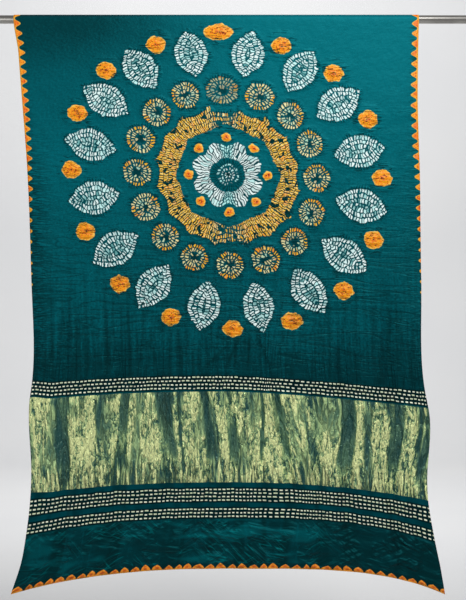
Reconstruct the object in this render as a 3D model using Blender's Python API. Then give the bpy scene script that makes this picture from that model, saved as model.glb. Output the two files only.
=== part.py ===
"""A tie-dyed silk cloth hung over a plain steel rod, face on.

The cloth is one woven length. Its front fall hangs to a hem that is drawn down and out at both
corners, and its shorter back fall hangs behind. The frame is in metres: +Z up, the cloth's face
towards -Y, and the origin on the rod's axis above the middle of the cloth.
"""

import math
from collections import namedtuple

import bmesh
import bpy
import numpy as np

# The rod: a plain tube, closed at its ends.
ROD_DIAMETER = 0.019
ROD_LENGTH = 1.200
ROD_SIDES = 48
ROD_CHAMFER = 0.0008

# The cloth: loom width, cut length, and the thickness of its solid.
CLOTH_WIDTH = 0.914
CLOTH_LENGTH = 2.250
CLOTH_THICKNESS = 0.0015
ROD_GAP = 0.00035

# Where the cloth's middle surface bends round the rod, and in how many steps.
BEND_RADIUS = ROD_DIAMETER / 2 + ROD_GAP + CLOTH_THICKNESS / 2
BEND_STEPS = 12

# How long each fall is, measured down the cloth's middle.
FRONT_LENGTH = 1.251
BACK_LENGTH = CLOTH_LENGTH - FRONT_LENGTH - math.pi * BEND_RADIUS

# Rows of the mesh, each zone from, to and in how many steps, and the spacing that columns keep.
Zone = namedtuple("Zone", "start end steps")
FRONT_ROWS = (
    Zone(0.000, 0.080, 3),
    Zone(0.080, 0.560, 7),
    Zone(0.560, 0.850, 6),
    Zone(0.850, 1.130, 6),
    Zone(1.130, FRONT_LENGTH, 4),
)
BACK_ROWS = (Zone(0.000, 0.080, 2), Zone(0.080, BACK_LENGTH, 7))
WIDEST_COLUMN = 0.030
NARROWEST_COLUMN = 0.007

# How the front fall hangs. Each row is a weft line of the cloth:
# down        how far its middle lies below the rod's axis
# left        X of its left end, right X of its right end
# left_drop   how much lower its left end lies than its middle, right_drop the same at the right
# left_bend   the power with which it drops towards the left end, right_bend the same at the right
Weft = namedtuple("Weft", "down left right left_drop right_drop left_bend right_bend")
FRONT_WEFTS = (
    Weft(0.000, -0.457, 0.457, 0.000, 0.000, 2.2, 1.4),
    Weft(0.080, -0.454, 0.455, -0.002, 0.001, 2.2, 1.4),
    Weft(0.175, -0.447, 0.454, -0.006, 0.005, 2.2, 1.4),
    Weft(0.350, -0.434, 0.459, -0.010, 0.010, 2.2, 1.4),
    Weft(0.572, -0.425, 0.462, 0.004, 0.022, 2.2, 1.4),
    Weft(0.813, -0.423, 0.471, 0.020, 0.036, 2.3, 1.3),
    Weft(0.852, -0.428, 0.479, 0.021, 0.038, 2.3, 1.4),
    Weft(1.056, -0.425, 0.477, 0.028, 0.041, 2.4, 2.2),
    Weft(1.132, -0.434, 0.491, 0.037, 0.052, 2.4, 2.8),
    Weft(1.190, -0.445, 0.503, 0.044, 0.054, 2.4, 3.3),
    Weft(FRONT_LENGTH, -0.468, 0.513, 0.054, 0.054, 2.4, 3.8),
)

# How the back fall hangs. It leans the same way, a little inside the front fall's left edge.
BACK_WEFTS = (
    Weft(0.000, -0.457, 0.457, 0.000, 0.000, 2.0, 2.0),
    Weft(0.175, -0.441, 0.453, 0.000, 0.000, 2.0, 2.0),
    Weft(0.350, -0.428, 0.452, 0.000, 0.002, 2.0, 2.0),
    Weft(0.600, -0.417, 0.452, 0.002, 0.006, 2.0, 2.0),
    Weft(BACK_LENGTH, -0.413, 0.454, 0.006, 0.012, 2.0, 2.0),
)

# The folds, left to right:
# across   where it lies across the flat cloth, lean how much further right its foot is than its head
# width    from flank to flank, depth how far the front fall sinks in it
# top      how far below the rod it begins, bottom where it ends
# behind   how far the back fall swells out in it, at its hem
Fold = namedtuple("Fold", "across lean width depth top bottom behind")
FOLDS = (
    Fold(-0.380, 0.004, 0.042, 0.0080, 0.560, 1.130, 0.006),
    Fold(-0.316, 0.000, 0.032, 0.0025, 0.600, 0.800, 0.011),
    Fold(-0.253, -0.006, 0.046, 0.0085, 0.640, 1.110, 0.000),
    Fold(-0.148, 0.012, 0.042, 0.0060, 0.720, 1.090, 0.012),
    Fold(-0.052, 0.000, 0.028, 0.0060, 0.780, 1.060, 0.005),
    Fold(0.004, 0.010, 0.032, 0.0035, 0.800, 1.080, 0.009),
    Fold(0.076, 0.004, 0.026, 0.0030, 0.800, 1.080, 0.000),
    Fold(0.121, 0.040, 0.032, 0.0085, 0.780, 1.060, 0.004),
    Fold(0.204, 0.004, 0.034, 0.0045, 0.760, 1.090, 0.012),
    Fold(0.269, -0.004, 0.050, 0.0090, 0.640, 1.110, 0.000),
    Fold(0.322, 0.000, 0.032, 0.0025, 0.600, 0.800, 0.010),
    Fold(0.375, -0.004, 0.044, 0.0080, 0.560, 1.130, 0.005),
    Fold(0.428, -0.016, 0.028, 0.0040, 0.790, 1.100, 0.000),
)
FADE_LENGTH = 0.120

# How much of its lean a fold has, at distances below the rod.
LEAN_STATIONS = (0.000, 0.600, 0.820, 1.080, FRONT_LENGTH)
LEAN_SHARES = (0.0, 0.0, -0.5, 0.5, 0.0)

# The hem's corners are drawn forward as well as down and out.
CORNER_REACH = 0.020
CORNER_START = 0.950
CORNER_POWER = 4.0


def clear_scene():
    """Removes the objects of the startup scene."""
    for old in list(bpy.data.objects):
        bpy.data.objects.remove(old)


def new_material(name, colour, roughness, metallic):
    """A plain finish for one sub-part."""
    material = bpy.data.materials.new(name)
    material.use_nodes = True
    shader = material.node_tree.nodes["Principled BSDF"]
    shader.inputs["Base Color"].default_value = (*colour, 1.0)
    shader.inputs["Roughness"].default_value = roughness
    shader.inputs["Metallic"].default_value = metallic
    return material


def smooth_step(value):
    """Rises from 0 to 1 with a soft start and end."""
    t = min(1.0, max(0.0, value))
    return t * t * (3.0 - 2.0 * t)


def smooth_curve(at, stations, values):
    """The value at a station, on a smooth curve through the table's own values."""
    slopes = np.gradient(values, stations)
    i = int(np.clip(np.searchsorted(stations, at) - 1, 0, len(stations) - 2))
    span = stations[i + 1] - stations[i]
    t = min(1.0, max(0.0, (at - stations[i]) / span))
    start = (1 + 2 * t) * (1 - t) ** 2 * values[i] + t * (1 - t) ** 2 * span * slopes[i]
    end = t * t * (3 - 2 * t) * values[i + 1] - t * t * (1 - t) * span * slopes[i + 1]
    return start + end


def weft_at(down, table):
    """The weft line at a distance down a fall, read from the fall's table."""
    stations = [weft.down for weft in table]
    columns = zip(*table)
    return Weft(*(smooth_curve(down, stations, column) for column in columns))


def fold_profile(across, fold):
    """1 at a fold's middle and 0 at its feet."""
    away = abs(across - fold.across) / (fold.width / 2)
    return 0.5 * (1.0 + math.cos(math.pi * away)) if away < 1.0 else 0.0


def lean_at(across, down):
    """How far right of its place a column lies, as the folds beside it lean."""
    edge = CLOTH_WIDTH / 2
    places = [-edge] + [fold.across for fold in FOLDS] + [edge]
    leans = [0.0] + [fold.lean for fold in FOLDS] + [0.0]
    return np.interp(across, places, leans) * np.interp(down, LEAN_STATIONS, LEAN_SHARES)


def sink(across, down):
    """How far the folds take the front fall back from its plane."""
    total = 0.0
    for fold in FOLDS:
        begins = smooth_step((down - fold.top) / FADE_LENGTH)
        ends = smooth_step((fold.bottom + FADE_LENGTH - down) / FADE_LENGTH)
        total += fold.depth * fold_profile(across, fold) * begins * ends
    return total


def swell(across, down):
    """How far the folds take the back fall out from its plane."""
    grown = smooth_step(down / BACK_LENGTH)
    return sum(fold.behind * fold_profile(across, fold) * grown for fold in FOLDS)


def corner_pull(share, down):
    """How far a hem's corner is drawn forward."""
    grown = smooth_step((down - CORNER_START) / (FRONT_LENGTH - CORNER_START))
    return CORNER_REACH * grown * abs(share) ** CORNER_POWER


def along_weft(share, weft):
    """X and the extra drop on a weft line, at a share of half the width from its middle."""
    x = (weft.left + weft.right) / 2 + share * (weft.right - weft.left) / 2
    if share < 0:
        return x, weft.left_drop * (-share) ** weft.left_bend
    return x, weft.right_drop * share**weft.right_bend


def front_point(across, down):
    """A point of the front fall."""
    share = (across + lean_at(across, down)) / (CLOTH_WIDTH / 2)
    x, drop = along_weft(share, weft_at(down, FRONT_WEFTS))
    y = -BEND_RADIUS + sink(across, down) - corner_pull(share, down)
    return x, y, -(down + drop)


def back_point(across, down):
    """A point of the back fall."""
    share = across / (CLOTH_WIDTH / 2)
    x, drop = along_weft(share, weft_at(down, BACK_WEFTS))
    return x, BEND_RADIUS + swell(across, down), -(down + drop)


def bend_point(across, turn):
    """A point of the cloth over the rod, at an angle from the front round to the back."""
    return across, -BEND_RADIUS * math.cos(turn), BEND_RADIUS * math.sin(turn)


def columns_across():
    """Where the mesh has columns: at each fold's feet, flanks and middle, and evenly between."""
    edge = CLOTH_WIDTH / 2
    marks = [-edge]
    for fold in FOLDS:
        for quarter in (-0.5, -0.25, 0.0, 0.25, 0.5):
            place = fold.across + quarter * fold.width
            if place - marks[-1] >= NARROWEST_COLUMN and edge - place >= NARROWEST_COLUMN:
                marks.append(place)
    marks.append(edge)
    filled = [marks[0]]
    for start, end in zip(marks, marks[1:]):
        steps = math.ceil((end - start) / WIDEST_COLUMN)
        filled += [start + (end - start) * i / steps for i in range(1, steps + 1)]
    return filled


def stations_of(zones):
    """Distances down a fall, evenly spaced in each zone."""
    found = []
    for zone in zones:
        found += [zone.start + (zone.end - zone.start) * i / zone.steps for i in range(1, zone.steps + 1)]
    return found


def cloth_rows(columns):
    """The points of every weft line, from the front hem over the rod to the back hem."""
    rows = [[front_point(a, down) for a in columns] for down in reversed(stations_of(FRONT_ROWS))]
    for step in range(BEND_STEPS + 1):
        turn = math.pi * step / BEND_STEPS
        rows.append([bend_point(a, turn) for a in columns])
    rows += [[back_point(a, down) for a in columns] for down in stations_of(BACK_ROWS)]
    return rows


def make_cloth():
    """The whole cloth as one sheet, thickened evenly about its middle surface."""
    columns = columns_across()
    rows = cloth_rows(columns)
    grid = bmesh.new()
    bmesh.ops.create_grid(grid, x_segments=len(columns) - 1, y_segments=len(rows) - 1, size=0.5)
    grid.verts.ensure_lookup_table()
    for index, vertex in enumerate(grid.verts):
        row, column = divmod(index, len(columns))
        vertex.co = rows[row][column]
    bmesh.ops.recalc_face_normals(grid, faces=grid.faces)
    mesh = bpy.data.meshes.new("cloth")
    grid.to_mesh(mesh)
    grid.free()
    mesh.shade_smooth()
    cloth = bpy.data.objects.new("cloth", mesh)
    bpy.context.scene.collection.objects.link(cloth)
    cloth.data.materials.append(new_material("dyed_silk", (0.0, 0.085, 0.098), 0.45, 0.0))
    thicken = cloth.modifiers.new("thickness", "SOLIDIFY")
    thicken.thickness = CLOTH_THICKNESS
    thicken.offset = 0.0
    thicken.use_even_offset = True
    return cloth


def make_rod():
    """The rod, along X, with lightly chamfered ends."""
    bpy.ops.mesh.primitive_cylinder_add(
        vertices=ROD_SIDES, radius=ROD_DIAMETER / 2, depth=ROD_LENGTH, rotation=(0.0, math.pi / 2, 0.0)
    )
    rod = bpy.context.object
    rod.name = "rod"
    rod.data.materials.append(new_material("satin_steel", (0.42, 0.41, 0.40), 0.35, 1.0))
    chamfer = rod.modifiers.new("chamfer", "BEVEL")
    chamfer.width = ROD_CHAMFER
    chamfer.segments = 1
    chamfer.limit_method = "ANGLE"
    rod.data.shade_smooth()
    rod.data.set_sharp_from_angle(angle=math.radians(30))
    return rod


def main():
    """Builds the rod and the cloth that hangs over it."""
    clear_scene()
    rod = make_rod()
    cloth = make_cloth()
    cloth.parent = rod
    bpy.context.view_layer.update()
    cloth.matrix_parent_inverse = rod.matrix_world.inverted()


main()
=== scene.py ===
"""Dresses a tie-dyed silk cloth hung over a steel rod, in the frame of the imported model.

Lengths are in metres. The cloth's own places are across, from its middle to the right, and down,
from the rod along the front fall. Places behind the rod are negative.
"""

import logging
import math
from dataclasses import dataclass
from enum import Enum
from functools import partial
from typing import Callable, NamedTuple, Sequence, Union

import bpy
import numpy as np
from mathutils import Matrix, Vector


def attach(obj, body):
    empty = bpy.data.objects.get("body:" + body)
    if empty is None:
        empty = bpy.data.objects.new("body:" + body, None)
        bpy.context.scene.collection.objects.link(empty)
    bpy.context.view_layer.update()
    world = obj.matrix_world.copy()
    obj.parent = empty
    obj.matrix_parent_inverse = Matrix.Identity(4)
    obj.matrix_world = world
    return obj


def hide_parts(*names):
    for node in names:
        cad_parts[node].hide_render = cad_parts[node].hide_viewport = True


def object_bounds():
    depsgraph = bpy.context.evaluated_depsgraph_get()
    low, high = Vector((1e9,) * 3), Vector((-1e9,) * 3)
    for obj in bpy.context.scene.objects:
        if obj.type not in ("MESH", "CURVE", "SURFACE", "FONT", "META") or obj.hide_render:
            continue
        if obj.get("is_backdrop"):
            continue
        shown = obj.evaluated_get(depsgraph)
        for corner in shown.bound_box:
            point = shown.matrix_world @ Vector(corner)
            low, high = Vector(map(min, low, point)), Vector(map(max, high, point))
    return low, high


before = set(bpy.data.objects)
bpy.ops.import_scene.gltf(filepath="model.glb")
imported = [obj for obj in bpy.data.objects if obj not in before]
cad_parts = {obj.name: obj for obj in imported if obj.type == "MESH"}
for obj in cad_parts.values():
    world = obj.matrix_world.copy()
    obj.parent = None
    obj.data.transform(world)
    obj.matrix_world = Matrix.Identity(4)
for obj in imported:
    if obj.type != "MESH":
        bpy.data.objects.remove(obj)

log = logging.getLogger("bandhani cloth")

Feed = Union["Field", float, Sequence[float], None]


class Body(str, Enum):
    """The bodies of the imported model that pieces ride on."""

    ROOT = "root"


class Slot(str, Enum):
    """The material slots' names."""

    SILK = "dyed_silk"
    STEEL = "satin_steel"


class Zone(Enum):
    """The cloth's finishes, in the order of its material slots."""

    DYED = 0
    DASHED = 1
    METALLIC = 2


def linear(colour: str) -> tuple[float, float, float, float]:
    """Turns an sRGB colour into the linear one that a shader takes.

    Args:
        colour: The colour as six hex digits after a hash sign.

    Returns:
        Linear red, green and blue, and full alpha.
    """
    parts = [int(colour[i : i + 2], 16) / 255 for i in (1, 3, 5)]
    red, green, blue = (p / 12.92 if p <= 0.04045 else ((p + 0.055) / 1.055) ** 2.4 for p in parts)
    return red, green, blue, 1.0


@dataclass(frozen=True)
class Field:
    """One output in a material's node tree, which adds Math nodes where it is reckoned with."""

    tree: bpy.types.NodeTree
    socket: bpy.types.NodeSocket

    def maths(self, operation: str, *others: Feed) -> "Field":
        """Adds a Math node that reads this field and then the others."""
        return add_node(self.tree, "ShaderNodeMath", self, *others, operation=operation)

    def __add__(self, other: Feed) -> "Field":
        """The sum."""
        return self.maths("ADD", other)

    def __sub__(self, other: Feed) -> "Field":
        """The difference."""
        return self.maths("SUBTRACT", other)

    def __rsub__(self, other: float) -> "Field":
        """A number less this field."""
        return add_node(self.tree, "ShaderNodeMath", other, self, operation="SUBTRACT")

    def __mul__(self, other: Feed) -> "Field":
        """The product."""
        return self.maths("MULTIPLY", other)

    def __truediv__(self, other: Feed) -> "Field":
        """The quotient."""
        return self.maths("DIVIDE", other)

    def __abs__(self) -> "Field":
        """The size without its sign."""
        return self.maths("ABSOLUTE")

    def __floor__(self) -> "Field":
        """The whole number at or below it."""
        return self.maths("FLOOR")

    def at_least(self, other: Feed) -> "Field":
        """This or the other, whichever is higher."""
        return self.maths("MAXIMUM", other)

    def at_most(self, other: Feed) -> "Field":
        """This or the other, whichever is lower."""
        return self.maths("MINIMUM", other)

    def rises(self, low: Feed, high: Feed) -> "Field":
        """0 below low, 1 above high, and smooth between them."""
        return self.ramp(low, high, 0.0, 1.0)

    def falls(self, low: Feed, high: Feed) -> "Field":
        """1 below low, 0 above high, and smooth between them."""
        return self.ramp(low, high, 1.0, 0.0)

    def ramp(self, low: Feed, high: Feed, start: float, end: float) -> "Field":
        """Goes smoothly from start, at low and below it, to end, at high and above it."""
        kind = "ShaderNodeMapRange"
        return add_node(self.tree, kind, self, low, high, start, end, interpolation_type="SMOOTHSTEP")


def add_node(
    tree: bpy.types.NodeTree,
    kind: str,
    *feeds: Feed,
    out: str | None = None,
    sockets: dict[str, Feed] | None = None,
    **settings: object,
) -> Field:
    """Adds one node with its settings and links.

    Args:
        tree: The material's node tree.
        kind: The node's type in Blender.
        feeds: Fields or values for the node's inputs, in their order.
        out: The name of the output wanted, or None for the first one in use.
        sockets: Fields or values for inputs by name.
        settings: The node's own properties.

    Returns:
        The output as a field.
    """
    node = tree.nodes.new(kind)
    for name, value in settings.items():
        setattr(node, name, value)
    inputs = [socket for socket in node.inputs if socket.enabled]
    pairs = list(zip(inputs, feeds))
    pairs += [(next(s for s in inputs if s.name == name), feed) for name, feed in (sockets or {}).items()]
    for socket, feed in pairs:
        if isinstance(feed, Field):
            tree.links.new(feed.socket, socket)
        elif feed is not None:
            socket.default_value = feed
    outputs = [socket for socket in node.outputs if socket.enabled]
    return Field(tree, next(s for s in outputs if out is None or s.name == out))


def new_material(name: str) -> tuple[bpy.types.Material, Callable[..., Field]]:
    """Makes an empty material.

    Args:
        name: The material's name.

    Returns:
        The material, and the node-adding function for its tree.
    """
    material = bpy.data.materials.new(name)
    material.use_nodes = True
    material.node_tree.nodes.clear()
    return material, partial(add_node, material.node_tree)


def finish_material(material: bpy.types.Material, surface: Field) -> bpy.types.Material:
    """Links a shader to the material's output and returns the material."""
    output = material.node_tree.nodes.new("ShaderNodeOutputMaterial")
    material.node_tree.links.new(surface.socket, output.inputs["Surface"])
    return material


class Weft(NamedTuple):
    """A weft line of the cloth as it hangs.

    down is how far its middle lies below the rod's axis, left and right are the places of its ends,
    the drops say how much lower the ends lie, and the bends with which power it drops to them.
    """

    down: float
    left: float
    right: float
    left_drop: float
    right_drop: float
    left_bend: float
    right_bend: float


class Fold(NamedTuple):
    """An upright fold, the same as in the solid: its place, lean, size, extent and depth behind."""

    across: float
    lean: float
    width: float
    depth: float
    top: float
    bottom: float
    behind: float


class Crease(NamedTuple):
    """A crease pressed or drawn into the cloth, from one place to another."""

    across: float
    down: float
    to_across: float
    to_down: float
    width: float
    depth: float


class Strip(NamedTuple):
    """A strip of the metallic panel that a fold turns from the light.

    top and bottom are its places across at the panel's two edges, and turned is how far it turns.
    """

    top: float
    bottom: float
    width: float
    turned: float


class Rows(NamedTuple):
    """A zone of the mesh's rows, from and to, in how many steps."""

    start: float
    end: float
    steps: int


CLOTH_WIDTH = 0.914
CLOTH_LENGTH = 2.250
BEND_RADIUS = 0.0106
FRONT_LENGTH = 1.251
BEND_LENGTH = math.pi * BEND_RADIUS
BACK_LENGTH = CLOTH_LENGTH - FRONT_LENGTH - BEND_LENGTH

# The hang of both falls, the same as in the solid
FRONT_WEFTS = (
    Weft(0.000, -0.457, 0.457, 0.000, 0.000, 2.2, 1.4),
    Weft(0.080, -0.454, 0.455, -0.002, 0.001, 2.2, 1.4),
    Weft(0.175, -0.447, 0.454, -0.006, 0.005, 2.2, 1.4),
    Weft(0.350, -0.434, 0.459, -0.010, 0.010, 2.2, 1.4),
    Weft(0.572, -0.425, 0.462, 0.004, 0.022, 2.2, 1.4),
    Weft(0.813, -0.423, 0.471, 0.020, 0.036, 2.3, 1.3),
    Weft(0.852, -0.428, 0.479, 0.021, 0.038, 2.3, 1.4),
    Weft(1.056, -0.425, 0.477, 0.028, 0.041, 2.4, 2.2),
    Weft(1.132, -0.434, 0.491, 0.037, 0.052, 2.4, 2.8),
    Weft(1.190, -0.445, 0.503, 0.044, 0.054, 2.4, 3.3),
    Weft(FRONT_LENGTH, -0.468, 0.513, 0.054, 0.054, 2.4, 3.8),
)
BACK_WEFTS = (
    Weft(0.000, -0.457, 0.457, 0.000, 0.000, 2.0, 2.0),
    Weft(0.175, -0.441, 0.453, 0.000, 0.000, 2.0, 2.0),
    Weft(0.350, -0.428, 0.452, 0.000, 0.002, 2.0, 2.0),
    Weft(0.600, -0.417, 0.452, 0.002, 0.006, 2.0, 2.0),
    Weft(BACK_LENGTH, -0.413, 0.454, 0.006, 0.012, 2.0, 2.0),
)
FOLDS = (
    Fold(-0.380, 0.004, 0.042, 0.0080, 0.560, 1.130, 0.006),
    Fold(-0.316, 0.000, 0.032, 0.0025, 0.600, 0.800, 0.011),
    Fold(-0.253, -0.006, 0.046, 0.0085, 0.640, 1.110, 0.000),
    Fold(-0.148, 0.012, 0.042, 0.0060, 0.720, 1.090, 0.012),
    Fold(-0.052, 0.000, 0.028, 0.0060, 0.780, 1.060, 0.005),
    Fold(0.004, 0.010, 0.032, 0.0035, 0.800, 1.080, 0.009),
    Fold(0.076, 0.004, 0.026, 0.0030, 0.800, 1.080, 0.000),
    Fold(0.121, 0.040, 0.032, 0.0085, 0.780, 1.060, 0.004),
    Fold(0.204, 0.004, 0.034, 0.0045, 0.760, 1.090, 0.012),
    Fold(0.269, -0.004, 0.050, 0.0090, 0.640, 1.110, 0.000),
    Fold(0.322, 0.000, 0.032, 0.0025, 0.600, 0.800, 0.010),
    Fold(0.375, -0.004, 0.044, 0.0080, 0.560, 1.130, 0.005),
    Fold(0.428, -0.016, 0.028, 0.0040, 0.790, 1.100, 0.000),
)
FADE_LENGTH = 0.120
LEAN_STATIONS = (0.000, 0.600, 0.820, 1.080, FRONT_LENGTH)
LEAN_SHARES = (0.0, 0.0, -0.5, 0.5, 0.0)
CORNER_REACH = 0.020
CORNER_START = 0.950
CORNER_POWER = 4.0

# Where the woven zones begin and end on the front fall
BAND_TOP = 0.811
PANEL_TOP = 0.848
PANEL_BOTTOM = 1.054
BAND_BOTTOM = 1.137

# Creases drawn into the plain hem, the panel and the silk above it
CREASES = (
    Crease(-0.330, 1.150, -0.230, 1.215, 0.016, 0.0030),
    Crease(-0.270, 1.145, -0.160, 1.205, 0.014, 0.0026),
    Crease(-0.190, 1.150, -0.100, 1.230, 0.015, 0.0026),
    Crease(-0.060, 1.165, 0.060, 1.185, 0.020, 0.0022),
    Crease(-0.020, 1.200, 0.110, 1.225, 0.022, 0.0026),
    Crease(0.080, 1.160, 0.200, 1.190, 0.018, 0.0022),
    Crease(0.150, 1.215, 0.270, 1.180, 0.018, 0.0024),
    Crease(0.230, 1.235, 0.370, 1.160, 0.020, 0.0026),
    Crease(0.330, 1.240, 0.420, 1.145, 0.014, 0.0034),
    Crease(0.380, 1.245, 0.440, 1.140, 0.012, 0.0036),
    Crease(-0.430, 1.240, -0.370, 1.150, 0.014, 0.0034),
    Crease(-0.400, 1.245, -0.330, 1.165, 0.012, 0.0028),
    Crease(0.255, 1.012, 0.375, 0.962, 0.010, 0.0030),
    Crease(0.262, 1.032, 0.350, 0.992, 0.009, 0.0022),
    Crease(0.040, 0.712, 0.004, 0.800, 0.010, 0.0022),
    Crease(0.060, 0.705, 0.052, 0.806, 0.010, 0.0022),
    Crease(0.022, 0.735, -0.060, 0.800, 0.012, 0.0018),
    Crease(0.030, 0.720, 0.026, 0.806, 0.008, 0.0020),
    Crease(0.062, 0.700, 0.130, 0.800, 0.012, 0.0018),
)

# The panel's strips that lie turned from the light, from left to right
STRIPS = (
    Strip(-0.4530, -0.4550, 0.014, 0.60),
    Strip(-0.3800, -0.3825, 0.031, 1.00),
    Strip(-0.2900, -0.2830, 0.040, 0.55),
    Strip(-0.2420, -0.2500, 0.026, 1.00),
    Strip(-0.1450, -0.1370, 0.040, 0.75),
    Strip(-0.1120, -0.1080, 0.008, 0.80),
    Strip(-0.0520, -0.0480, 0.017, 0.95),
    Strip(-0.0250, -0.0310, 0.028, 0.45),
    Strip(0.0080, 0.0120, 0.026, 0.80),
    Strip(0.0460, 0.0440, 0.020, 0.35),
    Strip(0.0780, 0.0750, 0.010, 0.85),
    Strip(0.1310, 0.1210, 0.019, 1.00),
    Strip(0.1500, 0.1460, 0.014, 0.40),
    Strip(0.1900, 0.1970, 0.030, 0.60),
    Strip(0.2700, 0.2660, 0.038, 0.95),
    Strip(0.3120, 0.3060, 0.022, 0.40),
    Strip(0.3800, 0.3760, 0.032, 0.80),
    Strip(0.4340, 0.4240, 0.010, 0.50),
    Strip(0.4530, 0.4430, 0.018, 0.70),
)

# Soft upright folds in the silk above the panel: place, width and depth
SOFT_FOLDS_TOP = 0.560
DEEPEST_SOFT_FOLD = 0.0024
SOFT_FOLDS = (
    (-0.410, 0.018, 0.0016),
    (-0.355, 0.016, 0.0022),
    (-0.332, 0.014, 0.0022),
    (-0.287, 0.018, 0.0024),
    (-0.234, 0.018, 0.0024),
    (-0.198, 0.016, 0.0020),
    (-0.110, 0.022, 0.0014),
    (0.160, 0.022, 0.0014),
    (0.235, 0.020, 0.0016),
    (0.300, 0.018, 0.0020),
    (0.350, 0.018, 0.0024),
    (0.380, 0.014, 0.0024),
    (0.402, 0.014, 0.0022),
    (0.425, 0.014, 0.0022),
)


def smooth_step(value: np.ndarray) -> np.ndarray:
    """Rises from 0 to 1 with a soft start and end."""
    t = np.clip(value, 0.0, 1.0)
    return t * t * (3.0 - 2.0 * t)


def smooth_curve(at: np.ndarray, stations: Sequence[float], values: Sequence[float]) -> np.ndarray:
    """Reads a table on a smooth curve through its own values.

    Args:
        at: The places to read.
        stations: The table's places, in rising order.
        values: The table's values at them.

    Returns:
        The values at the places asked for.
    """
    place, value = np.asarray(stations, float), np.asarray(values, float)
    slope = np.gradient(value, place)
    i = np.clip(np.searchsorted(place, at) - 1, 0, len(place) - 2)
    span = place[i + 1] - place[i]
    t = np.clip((at - place[i]) / span, 0.0, 1.0)
    start = (1 + 2 * t) * (1 - t) ** 2 * value[i] + t * (1 - t) ** 2 * span * slope[i]
    return start + t * t * (3 - 2 * t) * value[i + 1] - t * t * (1 - t) * span * slope[i + 1]


def between(down: np.ndarray, start: float, rise: float, end: float, fall: float) -> np.ndarray:
    """1 from start to end and 0 elsewhere, with a soft rise after the start and fall before the end."""
    return smooth_step((down - start) / rise) * smooth_step((end - down) / fall)


def lumps(across: np.ndarray, down: np.ndarray, width: float, length: float, seed: int) -> np.ndarray:
    """Smooth noise from 0 to 1 whose lumps have a given size, the same at every run.

    Args:
        across: Places across the cloth.
        down: Places down the cloth.
        width: How wide a lump is.
        length: How long a lump is.
        seed: Which of the patterns to use.

    Returns:
        The noise at each place.
    """
    x, y = (across + 2.0) / width, (down + 3.0) / length
    column, row = np.floor(x).astype(int), np.floor(y).astype(int)
    lattice = np.random.default_rng(seed).random((row.max() + 2, column.max() + 2))
    s, t = smooth_step(x - column), smooth_step(y - row)
    upper = lattice[row, column] * (1 - s) + lattice[row, column + 1] * s
    lower = lattice[row + 1, column] * (1 - s) + lattice[row + 1, column + 1] * s
    return upper * (1 - t) + lower * t


def ridges(across: np.ndarray, down: np.ndarray, width: float, length: float, seed: int) -> np.ndarray:
    """Noise with sharp crests, from 0 in its hollows to 1 on its crests."""
    return 1.0 - np.abs(2.0 * lumps(across, down, width, length, seed) - 1.0)


def wandering(
    across: np.ndarray, down: np.ndarray, reach: float, width: float, length: float, seed: int
) -> np.ndarray:
    """Places across that wander to either side by up to half of a reach, as folds do on their way down."""
    return across + reach * (lumps(across, down, width, length, seed) - 0.5)


def activate(piece: bpy.types.Object) -> None:
    """Makes a piece the only selected object, and the active one."""
    bpy.ops.object.select_all(action="DESELECT")
    piece.select_set(True)
    bpy.context.view_layer.objects.active = piece


@dataclass(frozen=True)
class SatinSteel:
    """Mild steel tube, drawn, ground along its length and bright plated."""

    colour: str = "#b9b6b0"
    dull: str = "#8d8a86"
    roughness: float = 0.30
    # Grinding lines are 0.2 mm wide, and are drawn as 1 mm, the finest that shows
    line_width: float = 0.001
    line_length: float = 0.060

    def material(self) -> bpy.types.Material:
        """Returns the finish: grinding lines break the shine up into soft streaks along the tube."""
        material, grow = new_material("ground_and_plated_steel")
        place = grow("ShaderNodeTexCoord", out="Object")
        scale = (1 / self.line_length, 1 / self.line_width, 1 / self.line_width)
        stretched = grow("ShaderNodeMapping", place, sockets={"Scale": scale})
        lines = grow("ShaderNodeTexNoise", sockets={"Vector": stretched, "Scale": 0.5, "Detail": 2.0})
        clouds = grow("ShaderNodeTexNoise", sockets={"Vector": place, "Scale": 14.0, "Detail": 3.0})
        roughness = lines * 0.16 + clouds * 0.10 + (self.roughness - 0.13)
        colours = linear(self.colour), linear(self.dull)
        tone = grow("ShaderNodeMix", clouds.rises(0.35, 0.75), *colours, data_type="RGBA")
        bump = grow("ShaderNodeBump", sockets={"Strength": 0.12, "Distance": 0.0003, "Height": lines})
        surface = grow(
            "ShaderNodeBsdfPrincipled",
            sockets={"Base Color": tone, "Roughness": roughness, "Metallic": 1.0, "Normal": bump},
        )
        return finish_material(material, surface)


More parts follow.
